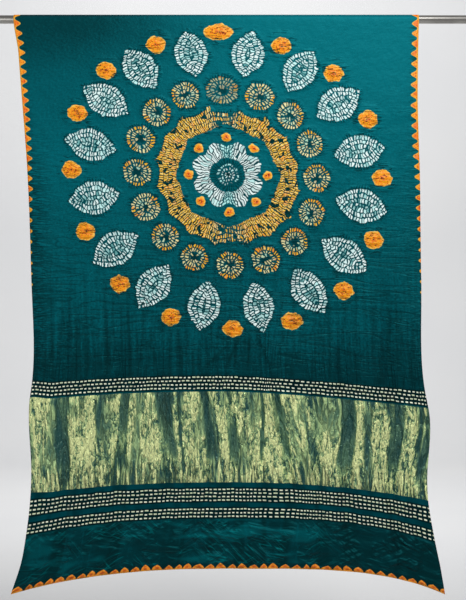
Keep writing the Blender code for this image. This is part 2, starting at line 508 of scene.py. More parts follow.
@dataclass(frozen=True)
class HangingRod:
    """A plain round tube with a pressed-in plug at each end."""

    diameter: float = 0.019
    length: float = 1.200
    # From the edge of each end inward: the wall, the plug's sunk edge, its rim and its crown
    end_steps: tuple[tuple[float, float], ...] = (
        (0.0012, 0.0),
        (0.0001, -0.0015),
        (0.0018, 0.0006),
        (0.0008, 0.0003),
    )
    rim_round: float = 0.0003
    sides: int = 96

    def build(self) -> bpy.types.Object:
        """Models the tube along X, with its walls and plugs.

        Returns:
            The tube's object.
        """
        bpy.ops.object.select_all(action="DESELECT")
        bpy.ops.mesh.primitive_cylinder_add(
            vertices=self.sides, radius=self.diameter / 2, depth=self.length, rotation=(0.0, math.pi / 2, 0.0)
        )
        rod = bpy.context.object
        rod.name = "rod_tube"
        bpy.ops.object.transform_apply(location=True, rotation=True, scale=True)
        bpy.ops.object.mode_set(mode="EDIT")
        bpy.ops.mesh.select_mode(type="FACE")
        bpy.ops.mesh.select_all(action="DESELECT")
        bpy.ops.object.mode_set(mode="OBJECT")
        for face in rod.data.polygons:
            face.select = abs(face.normal.x) > 0.9
        bpy.ops.object.mode_set(mode="EDIT")
        for thickness, depth in self.end_steps:
            bpy.ops.mesh.inset(thickness=thickness, depth=depth)
        bpy.ops.mesh.select_all(action="SELECT")
        bpy.ops.mesh.normals_make_consistent(inside=False)
        bpy.ops.object.mode_set(mode="OBJECT")
        rounding = rod.modifiers.new("rim", "BEVEL")
        rounding.width = self.rim_round
        rounding.segments = 2
        rounding.limit_method = "ANGLE"
        rounding.angle_limit = math.radians(35)
        bpy.ops.object.modifier_apply(modifier=rounding.name)
        bpy.ops.object.shade_smooth_by_angle(angle=math.radians(30))
        return rod

    def dress(self, rod: bpy.types.Object) -> None:
        """Gives the tube its finish, hangs it on the root body and hides the CAD rod in its place."""
        rod.data.materials.append(SatinSteel().material())
        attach(rod, Body.ROOT.value)
        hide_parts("rod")


class Ring(NamedTuple):
    """Where the motifs of one ring lie.

    count is how many there are, and shift how far round the first one starts, in motifs. across
    holds the factors of 1, cos, sin, sin cos and sin cos cos of a motif's turn from the top, down
    those of 1, sin, cos, cos squared and cos cubed, and squash is how far its motifs are squashed.
    """

    count: int
    shift: float
    across: tuple[float, float, float, float, float]
    down: tuple[float, float, float, float, float]
    squash: float


class Drawing:
    """A finish of the cloth as it is drawn, layer on layer.

    across and down are the cloth's own places. colour is what shows so far, relief how far it stands
    out, near how close the tied motifs are, and lash the short pleats that stand round them, where
    shade is painted.
    """

    def __init__(self, name: str) -> None:
        """Starts an empty material that reads the cloth's own places.

        Args:
            name: The material's name.
        """
        self.result, self.grow = new_material(name)
        self.cloth = self.grow("ShaderNodeUVMap", uv_map="Cloth")
        self.across = self.grow("ShaderNodeSeparateXYZ", self.cloth, out="X")
        self.down = self.grow("ShaderNodeSeparateXYZ", self.cloth, out="Y")
        self.colour: Field | None = None
        self.relief: Field | None = None
        self.near: Field | None = None
        self.lash: Field | None = None

    def noise(
        self, scale: float, place: Field | None = None, out: str | None = None, **others: float
    ) -> Field:
        """Makes noise with about scale lumps in a metre, over the cloth's own places or those given."""
        sockets = {"Vector": self.cloth if place is None else place, "Scale": scale, **others}
        return self.grow("ShaderNodeTexNoise", out=out, noise_dimensions="2D", sockets=sockets)

    def mix(self, share: Feed, first: str | Field, second: str | Field) -> Field:
        """Mixes two colours, with more of the second as share rises."""
        pair = [linear(colour) if isinstance(colour, str) else colour for colour in (first, second)]
        return self.grow("ShaderNodeMix", share, *pair, data_type="RGBA")

    def bump(self, height: Field, strength: float, distance: float, under: Field | None = None) -> Field:
        """Raises the surface by a height, on top of the bump under it."""
        sockets = {"Strength": strength, "Distance": distance, "Height": height, "Normal": under}
        return self.grow("ShaderNodeBump", sockets=sockets)

    def lay(self, share: Feed, colour: str | Field) -> None:
        """Lays a colour over what is drawn, as much of it as share says."""
        self.colour = self.mix(share, self.colour, colour)

    def lift(self, height: Field) -> None:
        """Adds to how far the cloth stands out."""
        self.relief = height if self.relief is None else self.relief + height

    def tie(self, near: Field, lash: Field | None = None) -> None:
        """Notes how near a tied motif is, and the pleats round it."""
        self.near = near if self.near is None else self.near.at_least(near)
        if lash is not None:
            self.lash = lash if self.lash is None else self.lash.at_least(lash)

    def drawn_out(self, wide: float, high: float, turn: float = 0.0, **sockets: float) -> Field:
        """Makes noise that is drawn out along one way of the cloth.

        Args:
            wide: How many lumps stand side by side in a metre.
            high: How many lumps stand above one another in a metre.
            turn: How far the scaled noise is turned, in radians.
            sockets: The noise's other values.

        Returns:
            The noise.
        """
        place = {"Scale": (wide, high, 1.0), "Rotation": (0.0, 0.0, turn)}
        scaled = self.grow("ShaderNodeMapping", self.cloth, sockets=place)
        return self.noise(1.0, scaled, **sockets)

    def line(self, field: Field, sharpness: float) -> Field:
        """Draws thin lines where noise passes its middle value, 1 on the line and 0 beside it."""
        return (1.0 - abs(field - 0.5) * sharpness).at_least(0.0)

    def finish(self, **sockets: Feed) -> bpy.types.Material:
        """Ends the material in one shader with the colour drawn and the values given."""
        values = {name.replace("_", " "): value for name, value in sockets.items()}
        surface = self.grow("ShaderNodeBsdfPrincipled", sockets={"Base Color": self.colour, **values})
        return finish_material(self.result, surface)


def radial(place: tuple[Field, Field], middle: tuple[float, float], squash: float) -> tuple[Field, Field]:
    """Finds the distance from a middle, and the turn round it as -0.5 to 0.5 from the top."""
    x, y = place[0] - middle[0], (place[1] - middle[1]) / squash
    return (x * x + y * y).maths("SQRT"), (x * -1.0).maths("ARCTAN2", y * -1.0) / math.tau


def motif(place: tuple[Field, Field], ring: Ring) -> tuple[Field, Field, Field, Field, Field]:
    """Finds a place in the nearest motif of a ring.

    Args:
        place: The place on the cloth, across and down.
        ring: The ring of motifs.

    Returns:
        How far outward of the motif's middle the place lies and how far beside it, the motif's
        number, and the sine and cosine of its turn.
    """
    a, b = ring.across, ring.down
    x, y = place[0] - a[0], place[1] - b[0]
    turn = (x * -1.0).maths("ARCTAN2", y * (-1.0 / ring.squash)) / math.tau
    number = (turn * ring.count - ring.shift).maths("ROUND")
    angle = (number + ring.shift) * (math.tau / ring.count)
    sine, cosine = angle.maths("SINE"), angle.maths("COSINE")
    x = x - ((cosine * a[4] + a[3]) * cosine + a[2]) * sine - cosine * a[1]
    y = (y - ((cosine * b[4] + b[3]) * cosine + b[2]) * cosine - sine * b[1]) / ring.squash
    outward = (x * sine + y * cosine) * -1.0
    beside = y * sine - x * cosine
    return outward, beside, number, sine, cosine


def marks(rows: Field, along: Field, salt: Feed, length: Feed, width: Feed) -> tuple[Field, Field]:
    """Draws rows of short tied marks.

    Args:
        rows: The depth into the motif, counted in rows.
        along: The place along a row, counted in marks.
        salt: A number that makes this motif's marks differ from its neighbours'.
        length: Half a mark's length, as a share of the row.
        width: Half a mark's width, as a share of its place.

    Returns:
        How much of the tied colour shows, and a random number for each mark.
    """
    row, mark = math.floor(rows), math.floor(along)
    key = add_node(rows.tree, "ShaderNodeCombineXYZ", row + salt, mark, 0.0)
    dice = add_node(rows.tree, "ShaderNodeTexWhiteNoise", key, out="Color", noise_dimensions="2D")
    chance = add_node(rows.tree, "ShaderNodeSeparateColor", dice, out="Red")
    other = add_node(rows.tree, "ShaderNodeSeparateColor", dice, out="Green")
    lengthwise = abs(rows - row - 0.5 + (other - 0.5) * 0.14)
    sideways = abs(along - mark - 0.5 + (chance - 0.5) * 0.24)
    half = other * 0.14 + (width - 0.07)
    shown = lengthwise.falls(length - 0.06, length + 0.06) * sideways.falls(half - 0.07, half + 0.07)
    return shown * (chance * 0.45 + 0.72).at_most(1.0), other


def lashes(depth: Field, along: Field) -> Field:
    """Finds the short pleats that stand round a tied motif's outline, where painted shade is laid."""
    pleat = abs(along.maths("FRACT") - 0.5).rises(0.20, 0.42)
    return pleat * depth.rises(-0.90, -0.10) * depth.falls(-0.02, 0.06)


def rounds(reach: Field, radius: float, row: float, mark: float) -> tuple[Field, Field]:
    """Finds how deep in a round motif a place lies, in rows, and how many marks fit into its row."""
    depth = (radius - reach) / row
    middle = radius - (math.floor(depth) + 0.5) * row
    return depth, (middle * (math.tau / mark)).maths("ROUND")


@dataclass(frozen=True)
class TiedSilk:
    """Satin silk, tied by hand at hundreds of points and dyed, so each tie leaves a mark and a pucker."""

    teal: str = "#00616c"
    deep_teal: str = "#002a30"
    # Painted shade in creases, wrinkles and pleats
    crease_shade: str = "#001114"
    # The teal between tied marks, laid as painted pucker shade
    pucker_shade: str = "#00222a"
    # Painted sheen on the crushed hem
    shine: str = "#00646b"
    white: str = "#f0fffc"
    cyan: str = "#78e2de"
    orange: str = "#ff8e00"
    amber: str = "#ffc222"
    pale: str = "#f4ecb0"
    roughness: float = 0.50
    leaves: Ring = Ring(
        16,
        0.5,
        (0.0072, -0.0046, -0.3176, -0.0004, -0.0161),
        (0.3538, -0.0033, -0.3085, 0.0138, 0.0173),
        0.9196,
    )
    leaf_half_length: float = 0.0605
    leaf_half_width: float = 0.0385
    leaf_row: float = 0.0120
    discs: Ring = Ring(
        16,
        0.0,
        (0.0073, -0.0018, -0.2086, -0.0033, -0.0136),
        (0.3554, -0.0040, -0.2016, 0.0062, 0.0026),
        0.9541,
    )
    disc_radius: float = 0.0328
    disc_row: float = 0.0098
    disc_mark: float = 0.0063
    scalloped_ring: tuple[float, float] = (0.0073, 0.3570)
    ring_row: float = 0.0104
    ring_marks: float = 172.0
    small_dots: Ring = Ring(
        8,
        0.0,
        (0.0089, 0.0, -0.0904, 0.0, 0.0),
        (0.3556, 0.0, -0.0848, 0.0, 0.0),
        0.9380,
    )
    flower: tuple[float, float] = (0.0089, 0.3556)
    flower_marks: float = 64.0
    centre_radius: float = 0.0275
    centre_row: float = 0.0085
    centre_mark: float = 0.0068
    dots: Ring = Ring(
        16,
        0.0,
        (0.0075, -0.0070, -0.3618, 0.0013, -0.0165),
        (0.3520, -0.0033, -0.3511, 0.0210, 0.0188),
        0.9500,
    )
    scallop_pitch: float = 0.0226
    scallop_height: float = 0.0118

    def ground(self, silk: Drawing) -> None:
        """Draws the ground: even teal, darker in painted shade towards the hem and the top left, and in
        clouds of uneven dye.
        """
        across, down = silk.across, silk.down
        clouds = silk.noise(9.0, Detail=5.0, Roughness=0.65)
        grain = silk.noise(190.0, Roughness=0.7)
        # Painted shade: darker towards the hem, at the top left and a little on the lower right. The clouds
        # are uneven dye, the grain and ribs the weave
        corner = down.falls(0.00, 0.14) * 0.55 + down.falls(0.08, 0.36) * 0.50
        shade_and_dye = down.rises(-0.05, 0.95) * 0.76 + across.falls(-0.36, 0.14) * corner
        shade_and_dye = shade_and_dye + down.rises(0.66, 0.82) * 0.30
        shade_and_dye = shade_and_dye + across.rises(0.15, 0.45) * down.rises(0.15, 0.45) * 0.10 + (clouds - 0.5) * 0.30
        ribs = silk.drawn_out(110.0, 8.0, Roughness=0.6)
        shade_and_dye = shade_and_dye + (grain - 0.5) * (down.rises(0.10, 0.60) * 0.4 + 0.6)
        shade_and_dye = (shade_and_dye + (ribs - 0.5) * down.rises(0.35, 0.75)).at_most(1.0)
        silk.colour = silk.mix(shade_and_dye.at_least(0.0), self.teal, self.deep_teal)

    def draw_leaves(self, silk: Drawing, place: tuple[Field, Field]) -> None:
        """Draws sixteen leaves, three rows of white marks inside one another on each side."""
        p, q, number, sine, cosine = motif(place, self.leaves)
        sideward = sine * sine
        p = p / (sideward * 0.0015 - cosine * 0.0030 + self.leaf_half_length)
        width = sideward * 0.0025 + self.leaf_half_width
        depth = ((1.0 - p * p) * width - abs(q)) / self.leaf_row
        inward = (1.0 - depth * 0.13).at_least(0.50)
        in_row = (0.935 - math.floor(depth) * 0.13).at_least(0.50)
        along = p * (p * p * 0.25 + 1.0) / inward * in_row * 9.4
        shown, dice = marks(depth + 0.03, along, number * 11.0, 0.39, 0.31)
        shown = shown * depth.rises(-0.02, 0.08) * (dice * 0.9 + 1.15 - depth * 0.28).at_most(1.0)
        tone = silk.mix(dice.rises(0.60, 1.0) * 0.45, self.white, self.cyan)
        tone = silk.mix(shown.falls(0.45, 0.90) * 0.8, tone, self.cyan)
        # Painted pucker shade darkens the teal between the marks, more deeply inside
        silk.lay(depth.rises(-0.1, 0.2) * (depth * 0.12 + 0.20), self.pucker_shade)
        silk.lay(shown, tone)
        silk.lift(shown * 0.9)
        silk.tie(depth.rises(-1.3, 0.0) * depth.falls(0.0, 0.3), lashes(depth, along))

    def draw_discs(self, silk: Drawing, place: tuple[Field, Field]) -> Field:
        """Draws sixteen discs of amber and pale rings round a dark middle.

        Args:
            silk: The finish so far.
            place: The place on the cloth, across and down.

        Returns:
            The distance from the nearest disc's middle.
        """
        p, q, number, _, _ = motif(place, self.discs)
        top = abs(number).falls(0.2, 0.8)
        q = q / (top * 0.18 + 1.0)
        reach = (p * p + q * q).maths("SQRT")
        depth, count = rounds(reach, self.disc_radius, self.disc_row, self.disc_mark)
        along = q.maths("ARCTAN2", p) / math.tau * count
        shown, dice = marks(depth, along, number * 13.0 + 3.0, 0.36, 0.25)
        shown = shown * depth.rises(0.0, 0.10) * reach.rises(0.0035, 0.0060)
        shown = shown * (dice + reach * 60.0).rises(0.80, 1.10) * (1.0 - top * 0.45)
        tone = silk.mix(dice.rises(0.60, 0.90) * 0.8, self.amber, "#ff9410")
        patch = silk.noise(30.0, Detail=0.0)
        greener = (depth.rises(1.0, 1.4) * 0.6).at_least(patch.rises(0.47, 0.55) * 0.9)
        inner = silk.mix(dice * depth.rises(0.6, 1.6), self.pale, "#9fdcc8")
        # Painted pucker shade darkens the teal between the marks
        silk.lay(depth.rises(-0.1, 0.2) * 0.45, self.pucker_shade)
        silk.lay(reach.falls(0.006, 0.012) * 0.7, "#001014")
        silk.lay(shown, silk.mix(greener, tone, inner))
        silk.lift(shown * 0.8)
        silk.tie(depth.rises(-1.5, 0.0) * depth.falls(0.0, 0.3), lashes(depth, along))
        return reach

    def draw_ring(self, silk: Drawing, place: tuple[Field, Field], reach: Field, specks: Field) -> None:
        """Draws the scalloped amber ring, whose rows follow the arcs round the discs.

        Args:
            silk: The finish so far.
            place: The place on the cloth, across and down.
            reach: The distance from the nearest disc's middle.
            specks: The finest noise.
        """
        radius, turn = radial(place, self.scalloped_ring, self.discs.squash)
        octant = (turn * 8.0 - 0.5) - (turn * 8.0 - 0.5).maths("ROUND")
        flat = radius * (octant * (math.tau / 8)).maths("COSINE")
        upright = abs(turn * 2.0).maths("PINGPONG", 0.5)
        outer = (reach + upright * 0.0110 - 0.0550).maths("SMOOTH_MIN", 0.1735 - radius, 0.0320)
        inside = (flat + upright * 0.0060 - 0.1145).rises(-0.001, 0.001) * outer.rises(-0.001, 0.001)
        paler = upright.falls(0.03, 0.13)
        along = turn * self.ring_marks
        rows = outer / self.ring_row + 0.05
        shown, dice = marks(rows, along, 5.0, 0.46 - paler * 0.11, 0.34 - paler * 0.07)
        tone = silk.mix(dice.rises(0.60, 1.0), self.amber, "#ffa012")
        holes = silk.noise(60.0, Detail=1.0).rises(0.62, 0.66)
        shown = shown * (dice + (1.0 - paler)).rises(0.15, 0.35)
        lighter = (dice * 5.0).maths("FRACT").rises(0.50, 0.65) * (paler * 0.6 + 0.12)
        tone = silk.mix(lighter, tone, self.pale)
        tone = silk.mix(specks.rises(0.52, 0.60) * 0.5, tone, self.pale)
        # Painted pucker shade darkens the band between the marks, less at the top and bottom
        silk.lay(inside * (0.94 - paler * 0.55), "#03201c")
        silk.lay(shown * inside * (1.0 - holes), tone)
        silk.lift(shown * inside * 0.8)
        silk.tie(outer.rises(-0.014, 0.0) * radius.rises(0.10, 0.11), lashes(outer / 0.0100, along))

    def draw_small_dots(self, silk: Drawing, place: tuple[Field, Field], specks: Field) -> None:
        """Draws eight small orange dots inside the ring, each drawn to a dark red middle."""
        p, q, _, _, _ = motif(place, self.small_dots)
        reach = (p * p + q * q).maths("SQRT") + abs(p) * 0.10
        tone = silk.mix(reach.rises(0.0070, 0.0105), "#ff9800", "#ffc440")
        silk.lay(reach.falls(0.0112, 0.0124), tone)
        silk.lay(reach.falls(0.0030, 0.0080) * specks.rises(0.40, 0.54), "#e04a04")
        silk.lay(reach.falls(0.0012, 0.0050) * specks.rises(0.42, 0.52), "#6a0c02")
        silk.lift(reach.falls(0.004, 0.013) * 1.1)
        silk.tie(reach.falls(0.012, 0.026) * 0.8)

    def draw_flower(self, silk: Drawing, place: tuple[Field, Field], specks: Field) -> None:
        """Draws the white flower band with eight lobes, and small rings of pale marks inside it."""
        radius, turn = radial(place, self.flower, self.small_dots.squash)
        upright = abs(turn * 2.0).maths("PINGPONG", 0.5)
        lobe = abs((turn * (8 * math.pi)).maths("SINE")) * 0.0165 + 0.0665
        outer = lobe - radius
        inside = outer.rises(-0.001, 0.001) * radius.rises(0.0400, 0.0425)
        shown, dice = marks(outer / 0.0185 + 0.1, turn * self.flower_marks, 9.0, 0.48, 0.33)
        broken = abs((outer / 0.0074).maths("FRACT") - 0.5).falls(0.30, 0.44)
        shown = shown * (1.0 - (1.0 - broken) * upright.falls(0.07, 0.13)) * inside
        tone = silk.mix(dice.rises(0.6, 1.0) * 0.4, self.white, self.cyan)
        tone = silk.mix(upright.falls(0.03, 0.12) * 0.6, tone, "#8ef4ee")
        # Painted pucker shade darkens the band between the marks, less at the top and bottom
        silk.lay(inside * (0.75 - upright.falls(0.03, 0.12) * 0.60), "#04262c")
        silk.lay(shown, tone)
        silk.lift(shown * 0.8)

        depth, count = rounds(radius, self.centre_radius, self.centre_row, self.centre_mark)
        shown, dice = marks(depth, turn * count, 15.0, 0.26, 0.25)
        shown = shown * (dice + depth * 0.4).rises(0.35, 0.85)
        shown = shown * depth.rises(0.0, 0.1) * radius.rises(0.003, 0.006)
        # Painted pucker shade round the middle
        silk.lay(radius.falls(0.030, 0.042) * 0.45, self.pucker_shade)
        # Painted shade in the pleats about the middle
        pleats = abs((turn * 34.0 + specks * 0.6).maths("FRACT") - 0.5).falls(0.10, 0.30)
        silk.lay(pleats * radius.rises(0.024, 0.030) * radius.falls(0.038, 0.043) * 0.75, "#001014")
        silk.lay(radius.falls(0.004, 0.011) * 0.9, "#001014")
        silk.lay(shown * 0.9, silk.mix(dice * 0.7, self.white, self.cyan))
        silk.lift(shown * 0.6)

    def draw_dots(self, silk: Drawing, place: tuple[Field, Field], specks: Field) -> None:
        """Draws sixteen orange dots between the leaves' tips, gathered to a red crease."""
        p, q, number, sine, cosine = motif(place, self.dots)
        top = abs(number).falls(0.2, 0.8)
        p, q = (p - top * 0.0110) / (1.0 - top * 0.05), q / (top * 0.46 + 1.0)
        level, plumb = p * sine + q * cosine, abs(q * sine - p * cosine) + 0.0028
        reach = (level * level + plumb * plumb).maths("SQRT")
        disc = reach.falls(0.0228, 0.0240)
        pinch = silk.drawn_out(90.0, 260.0, 0.2, Distortion=1.2)
        mix = silk.mix
        tone = mix(specks.rises(0.44, 0.54), self.orange, "#ffa800")
        tone = mix(reach.falls(0.002, 0.0190) * specks.falls(0.44, 0.52) * 0.8, tone, "#f06000")
        tone = mix(pinch.rises(0.58, 0.62) * reach.falls(0.012, 0.022) * 0.9, tone, "#8a1c02")
        tone = mix(reach.falls(0.0030, 0.0080) * specks.rises(0.47, 0.54), tone, "#300600")
        tone = mix(reach.rises(0.0195, 0.0225) * specks.rises(0.36, 0.46) * 0.8, tone, "#ffd25a")
        silk.lay(disc, tone)
        swell, sunk = reach.falls(0.005, 0.024) * 1.6, pinch.rises(0.58, 0.66) * disc * 0.8
        silk.relief = silk.relief + swell - sunk
        silk.tie(reach.falls(0.024, 0.048))

    def draw_wrinkles(self, silk: Drawing, patches: Field) -> Field:
        """Draws painted shade in thin wrinkles from every tied motif, in others from the edges, and in soft
        hollows.

        Args:
            silk: The finish so far.
            patches: Noise in patches of 30 mm.

        Returns:
            The wrinkles that the ties leave across the cloth, 6 mm apart and 60 mm long.
        """
        across, down = silk.across, silk.down
        wander = silk.drawn_out(19.0, 150.0, Detail=1.0, Distortion=0.3)
        wrinkle = silk.line(wander, 15.0)
        ripple = silk.drawn_out(26.0, 175.0, 0.05, Detail=1.0, Distortion=0.2)
        slack = silk.drawn_out(5.0, 48.0, Distortion=0.4)
        broken = silk.drawn_out(34.0, 90.0, Detail=1.0).rises(0.46, 0.56)
        to_left = across.falls(-0.457, -0.385) + across.falls(-0.457, -0.290) * 0.25
        sides = (to_left + across.rises(0.385, 0.457) * 0.6) * down.rises(0.16, 0.45) * down.falls(0.78, 0.84)
        spread = patches.rises(0.45, 0.65) * down.rises(0.10, 0.30) * 0.25
        tied = (silk.near * 1.1 + spread).at_most(1.0)
        tied = tied * down.falls(0.80, 0.85) * down.rises(0.0, 0.03)
        marked = (silk.relief * 1.4).at_most(1.0)
        crease = (wrinkle * tied * broken).at_least(silk.lash * patches.rises(0.35, 0.50) * 0.90)
        edges = silk.line(ripple, 6.0) * sides * 0.8
        drawn = silk.line(slack, 22.0) * down.rises(0.30, 0.62) * down.falls(0.76, 0.84) * 0.6
        crease = crease.at_least(edges.at_least(drawn)) * (1.0 - marked)
        # Painted shade in the wrinkles, and in the soft folds' hollows
        silk.lay(crease * 0.92, self.crease_shade)
        painted_fold_shade = silk.grow("ShaderNodeAttribute", out="Fac", attribute_name="valley_and_painted_shade")
        silk.lay(painted_fold_shade * 0.85, self.crease_shade)

        # Short upright gathers stand close together above the panel, with painted shade in them
        gather = silk.line(silk.drawn_out(75.0, 7.0, Distortion=0.3), 11.0)
        gather = gather * down.rises(0.68, 0.78) * down.falls(0.86, 1.0)
        silk.lay(gather * abs(across - 0.02).rises(0.0, 0.12) * 0.45, self.crease_shade)
        swell = wander * (tied * 1.8 + down.rises(0.40, 0.60) * 0.35)
        swell = swell + ripple * sides * 1.8 + slack * down.rises(0.3, 0.6) * 2.0
        silk.relief = silk.relief + swell - crease - gather * 0.6
        return wrinkle

    def draw_crushed_hem(self, silk: Drawing) -> None:
        """Draws the plain silk below the bands: painted shade and broad soft painted shines, thin creases
        that cross with painted shade in them and painted highlights beside them, and painted shade to the
        right and at the left edge.
        """
        across, down = silk.across, silk.down
        low = down.rises(1.130, 1.150)
        crushed = silk.drawn_out(9.0, 34.0, 0.12, Detail=1.0, Distortion=0.2)
        # Painted shade in the crushed silk's hollows, and painted shine on its swells to the left and middle
        silk.lay(low * crushed.falls(0.38, 0.52) * 0.55, "#001418")
        silk.lay(low * crushed.rises(0.55, 0.72) * across.falls(0.10, 0.36) * 0.42, self.shine)
        silk.lift(crushed * low * 3.0)
        for lean, seat in ((-0.75, 3.0), (0.50, 9.0), (-0.20, 17.0)):
            turned = silk.grow("ShaderNodeMapping", silk.cloth, sockets={"Rotation": (0.0, 0.0, lean)})
            narrow = {"Scale": (9.0, 85.0, 1.0), "Location": (seat, seat, 0.0)}
            pleated = silk.grow("ShaderNodeMapping", turned, sockets=narrow)
            contour = silk.noise(1.0, pleated, Detail=1.0, Roughness=0.4) - 0.5
            where = silk.noise(9.0 + seat, Detail=0.0).rises(0.48, 0.60) * low
            beside = abs(contour - 0.045).falls(0.005, 0.025) * where * across.falls(0.12, 0.30)
            # Painted shade in each crease, and a painted highlight beside it
            silk.lay(abs(contour).falls(0.005, 0.025) * where * 0.60, self.crease_shade)
            silk.lay(beside * 0.36, "#007a7e")
            silk.lift(contour * where * 5.0)
        # Painted shade over the hem's right side and its left edge
        silk.lay(low * across.rises(0.12, 0.40) * 0.72, "#00181c")
        silk.lay(low * across.falls(-0.44, -0.25) * 0.35, "#001c20")

    def draw_scallops(self, silk: Drawing, patches: Field, specks: Field, wrinkle: Field) -> None:
        """Draws the scallops of the edges and the hem, which turn back below the pattern on the front.

        Args:
            silk: The finish so far.
            patches: Noise in patches of 30 mm.
            specks: The finest noise.
            wrinkle: The wrinkles across the cloth.
        """
        across, down, mix = silk.across, silk.down, silk.mix
        edge = CLOTH_WIDTH / 2 - abs(across) + (down.rises(0.200, 0.620) * 0.0125)
        hem = (FRONT_LENGTH - down).at_most(down + (BACK_LENGTH + BEND_LENGTH))
        beside = abs((down / self.scallop_pitch).maths("FRACT") - 0.5)
        jog = silk.noise(26.0, Detail=0.0) - 0.5
        along = (across + jog * 0.012 + CLOTH_WIDTH / 2) / self.scallop_pitch
        along = abs(along.maths("FRACT") - 0.5)
        uneven = (patches - 0.5) * 0.007
        arch_side = beside.falls(0.02, 0.46) * self.scallop_height + 0.0034 + uneven * 0.6
        arch_hem = (1.0 - along / 0.44).at_least(0.0).maths("POWER", 0.50) * 0.0106 + 0.0010
        arch_hem = arch_hem + uneven * 0.5 + jog * 0.008
        tooth_side = (arch_side - edge).rises(-0.0007, 0.0007) * down.falls(0.600, 0.625)
        tooth_hem = (arch_hem - hem).rises(-0.0007, 0.0007)
        trim = tooth_side.at_least(tooth_hem)
        about = edge.falls(0.006, 0.030) * down.falls(0.45, 0.60) * down.rises(0.0, 0.02)
        # Painted shade in the wrinkles near the side edges, and a dark band along the hem that shows between
        # its scallops
        silk.lay((about * wrinkle * 0.9).at_least(hem.falls(0.010, 0.016) * 0.8), self.crease_shade)
        rim = (arch_side - edge).falls(0.0010, 0.0040).at_least(edge.falls(0.0005, 0.0030))
        tone = mix(specks.rises(0.40, 0.60), "#fa8a04", "#ffa41a")
        tone = mix(rim * 0.85, tone, "#f2b834")
        tone = mix((1.0 - rim) * patches.rises(0.46, 0.60) * 0.8, tone, "#f06a08")
        silk.lay(trim, mix(tooth_hem * 0.8, tone, "#ff9016"))
        eye_side = specks.falls(0.36, 0.42) * (1.0 - rim) * tooth_side * 0.8
        eye_hem = abs(hem - 0.0055).falls(0.0010, 0.0045) * along.falls(0.05, 0.26) * 0.75
        eye_hem = eye_hem.at_least(specks.falls(0.38, 0.44) * 0.6) * tooth_hem
        silk.lay(eye_side.at_least(eye_hem), "#c43804")
        silk.lay(hem.falls(0.0012, 0.0030) * patches.rises(0.42, 0.50) * 0.9, "#ffae30")
        silk.lift(trim * 0.8)

    def material(self) -> bpy.types.Material:
        """Returns the finish: deep teal satin with painted shade and sheen, crisp undyed marks, and fine
        wrinkles from the ties with painted shade in them.
        """
        silk = Drawing("tied_and_dyed_satin_silk")
        # Threads pull every outline about by 1 to 2 mm
        pulls = silk.noise(75.0, out="Color", Detail=1.0)
        pull_x = (silk.grow("ShaderNodeSeparateColor", pulls, out="Red") - 0.5) * 0.0085
        pull_y = (silk.grow("ShaderNodeSeparateColor", pulls, out="Green") - 0.5) * 0.0085
        place = (silk.across + pull_x, silk.down + pull_y)
        specks = silk.noise(260.0)
        patches = silk.noise(32.0)
        self.ground(silk)
        self.draw_leaves(silk, place)
        reach = self.draw_discs(silk, place)
        self.draw_ring(silk, place, reach, specks)
        self.draw_small_dots(silk, place, specks)
        self.draw_flower(silk, place, specks)
        self.draw_dots(silk, place, specks)
        wrinkle = self.draw_wrinkles(silk, patches)
        self.draw_crushed_hem(silk)
        self.draw_scallops(silk, patches, specks, wrinkle)

        # Satin threads are 0.1 mm apart, and are drawn 1.2 mm apart, the finest that shows
        slub = silk.drawn_out(830.0, 90.0, Detail=1.0)
        fine = silk.noise(48.0, Detail=5.0, Roughness=0.6)
        pressed = silk.bump(silk.relief + fine * 0.9, 1.0, 0.0014)
        return silk.finish(
            Roughness=slub * 0.10 + fine * 0.10 + (self.roughness - 0.10),
            IOR=1.54,
            Specular_IOR_Level=0.6,
            Specular_Tint=linear("#2fb4bb"),
            Normal=silk.bump(slub, 0.12, 0.0003, pressed),
        )


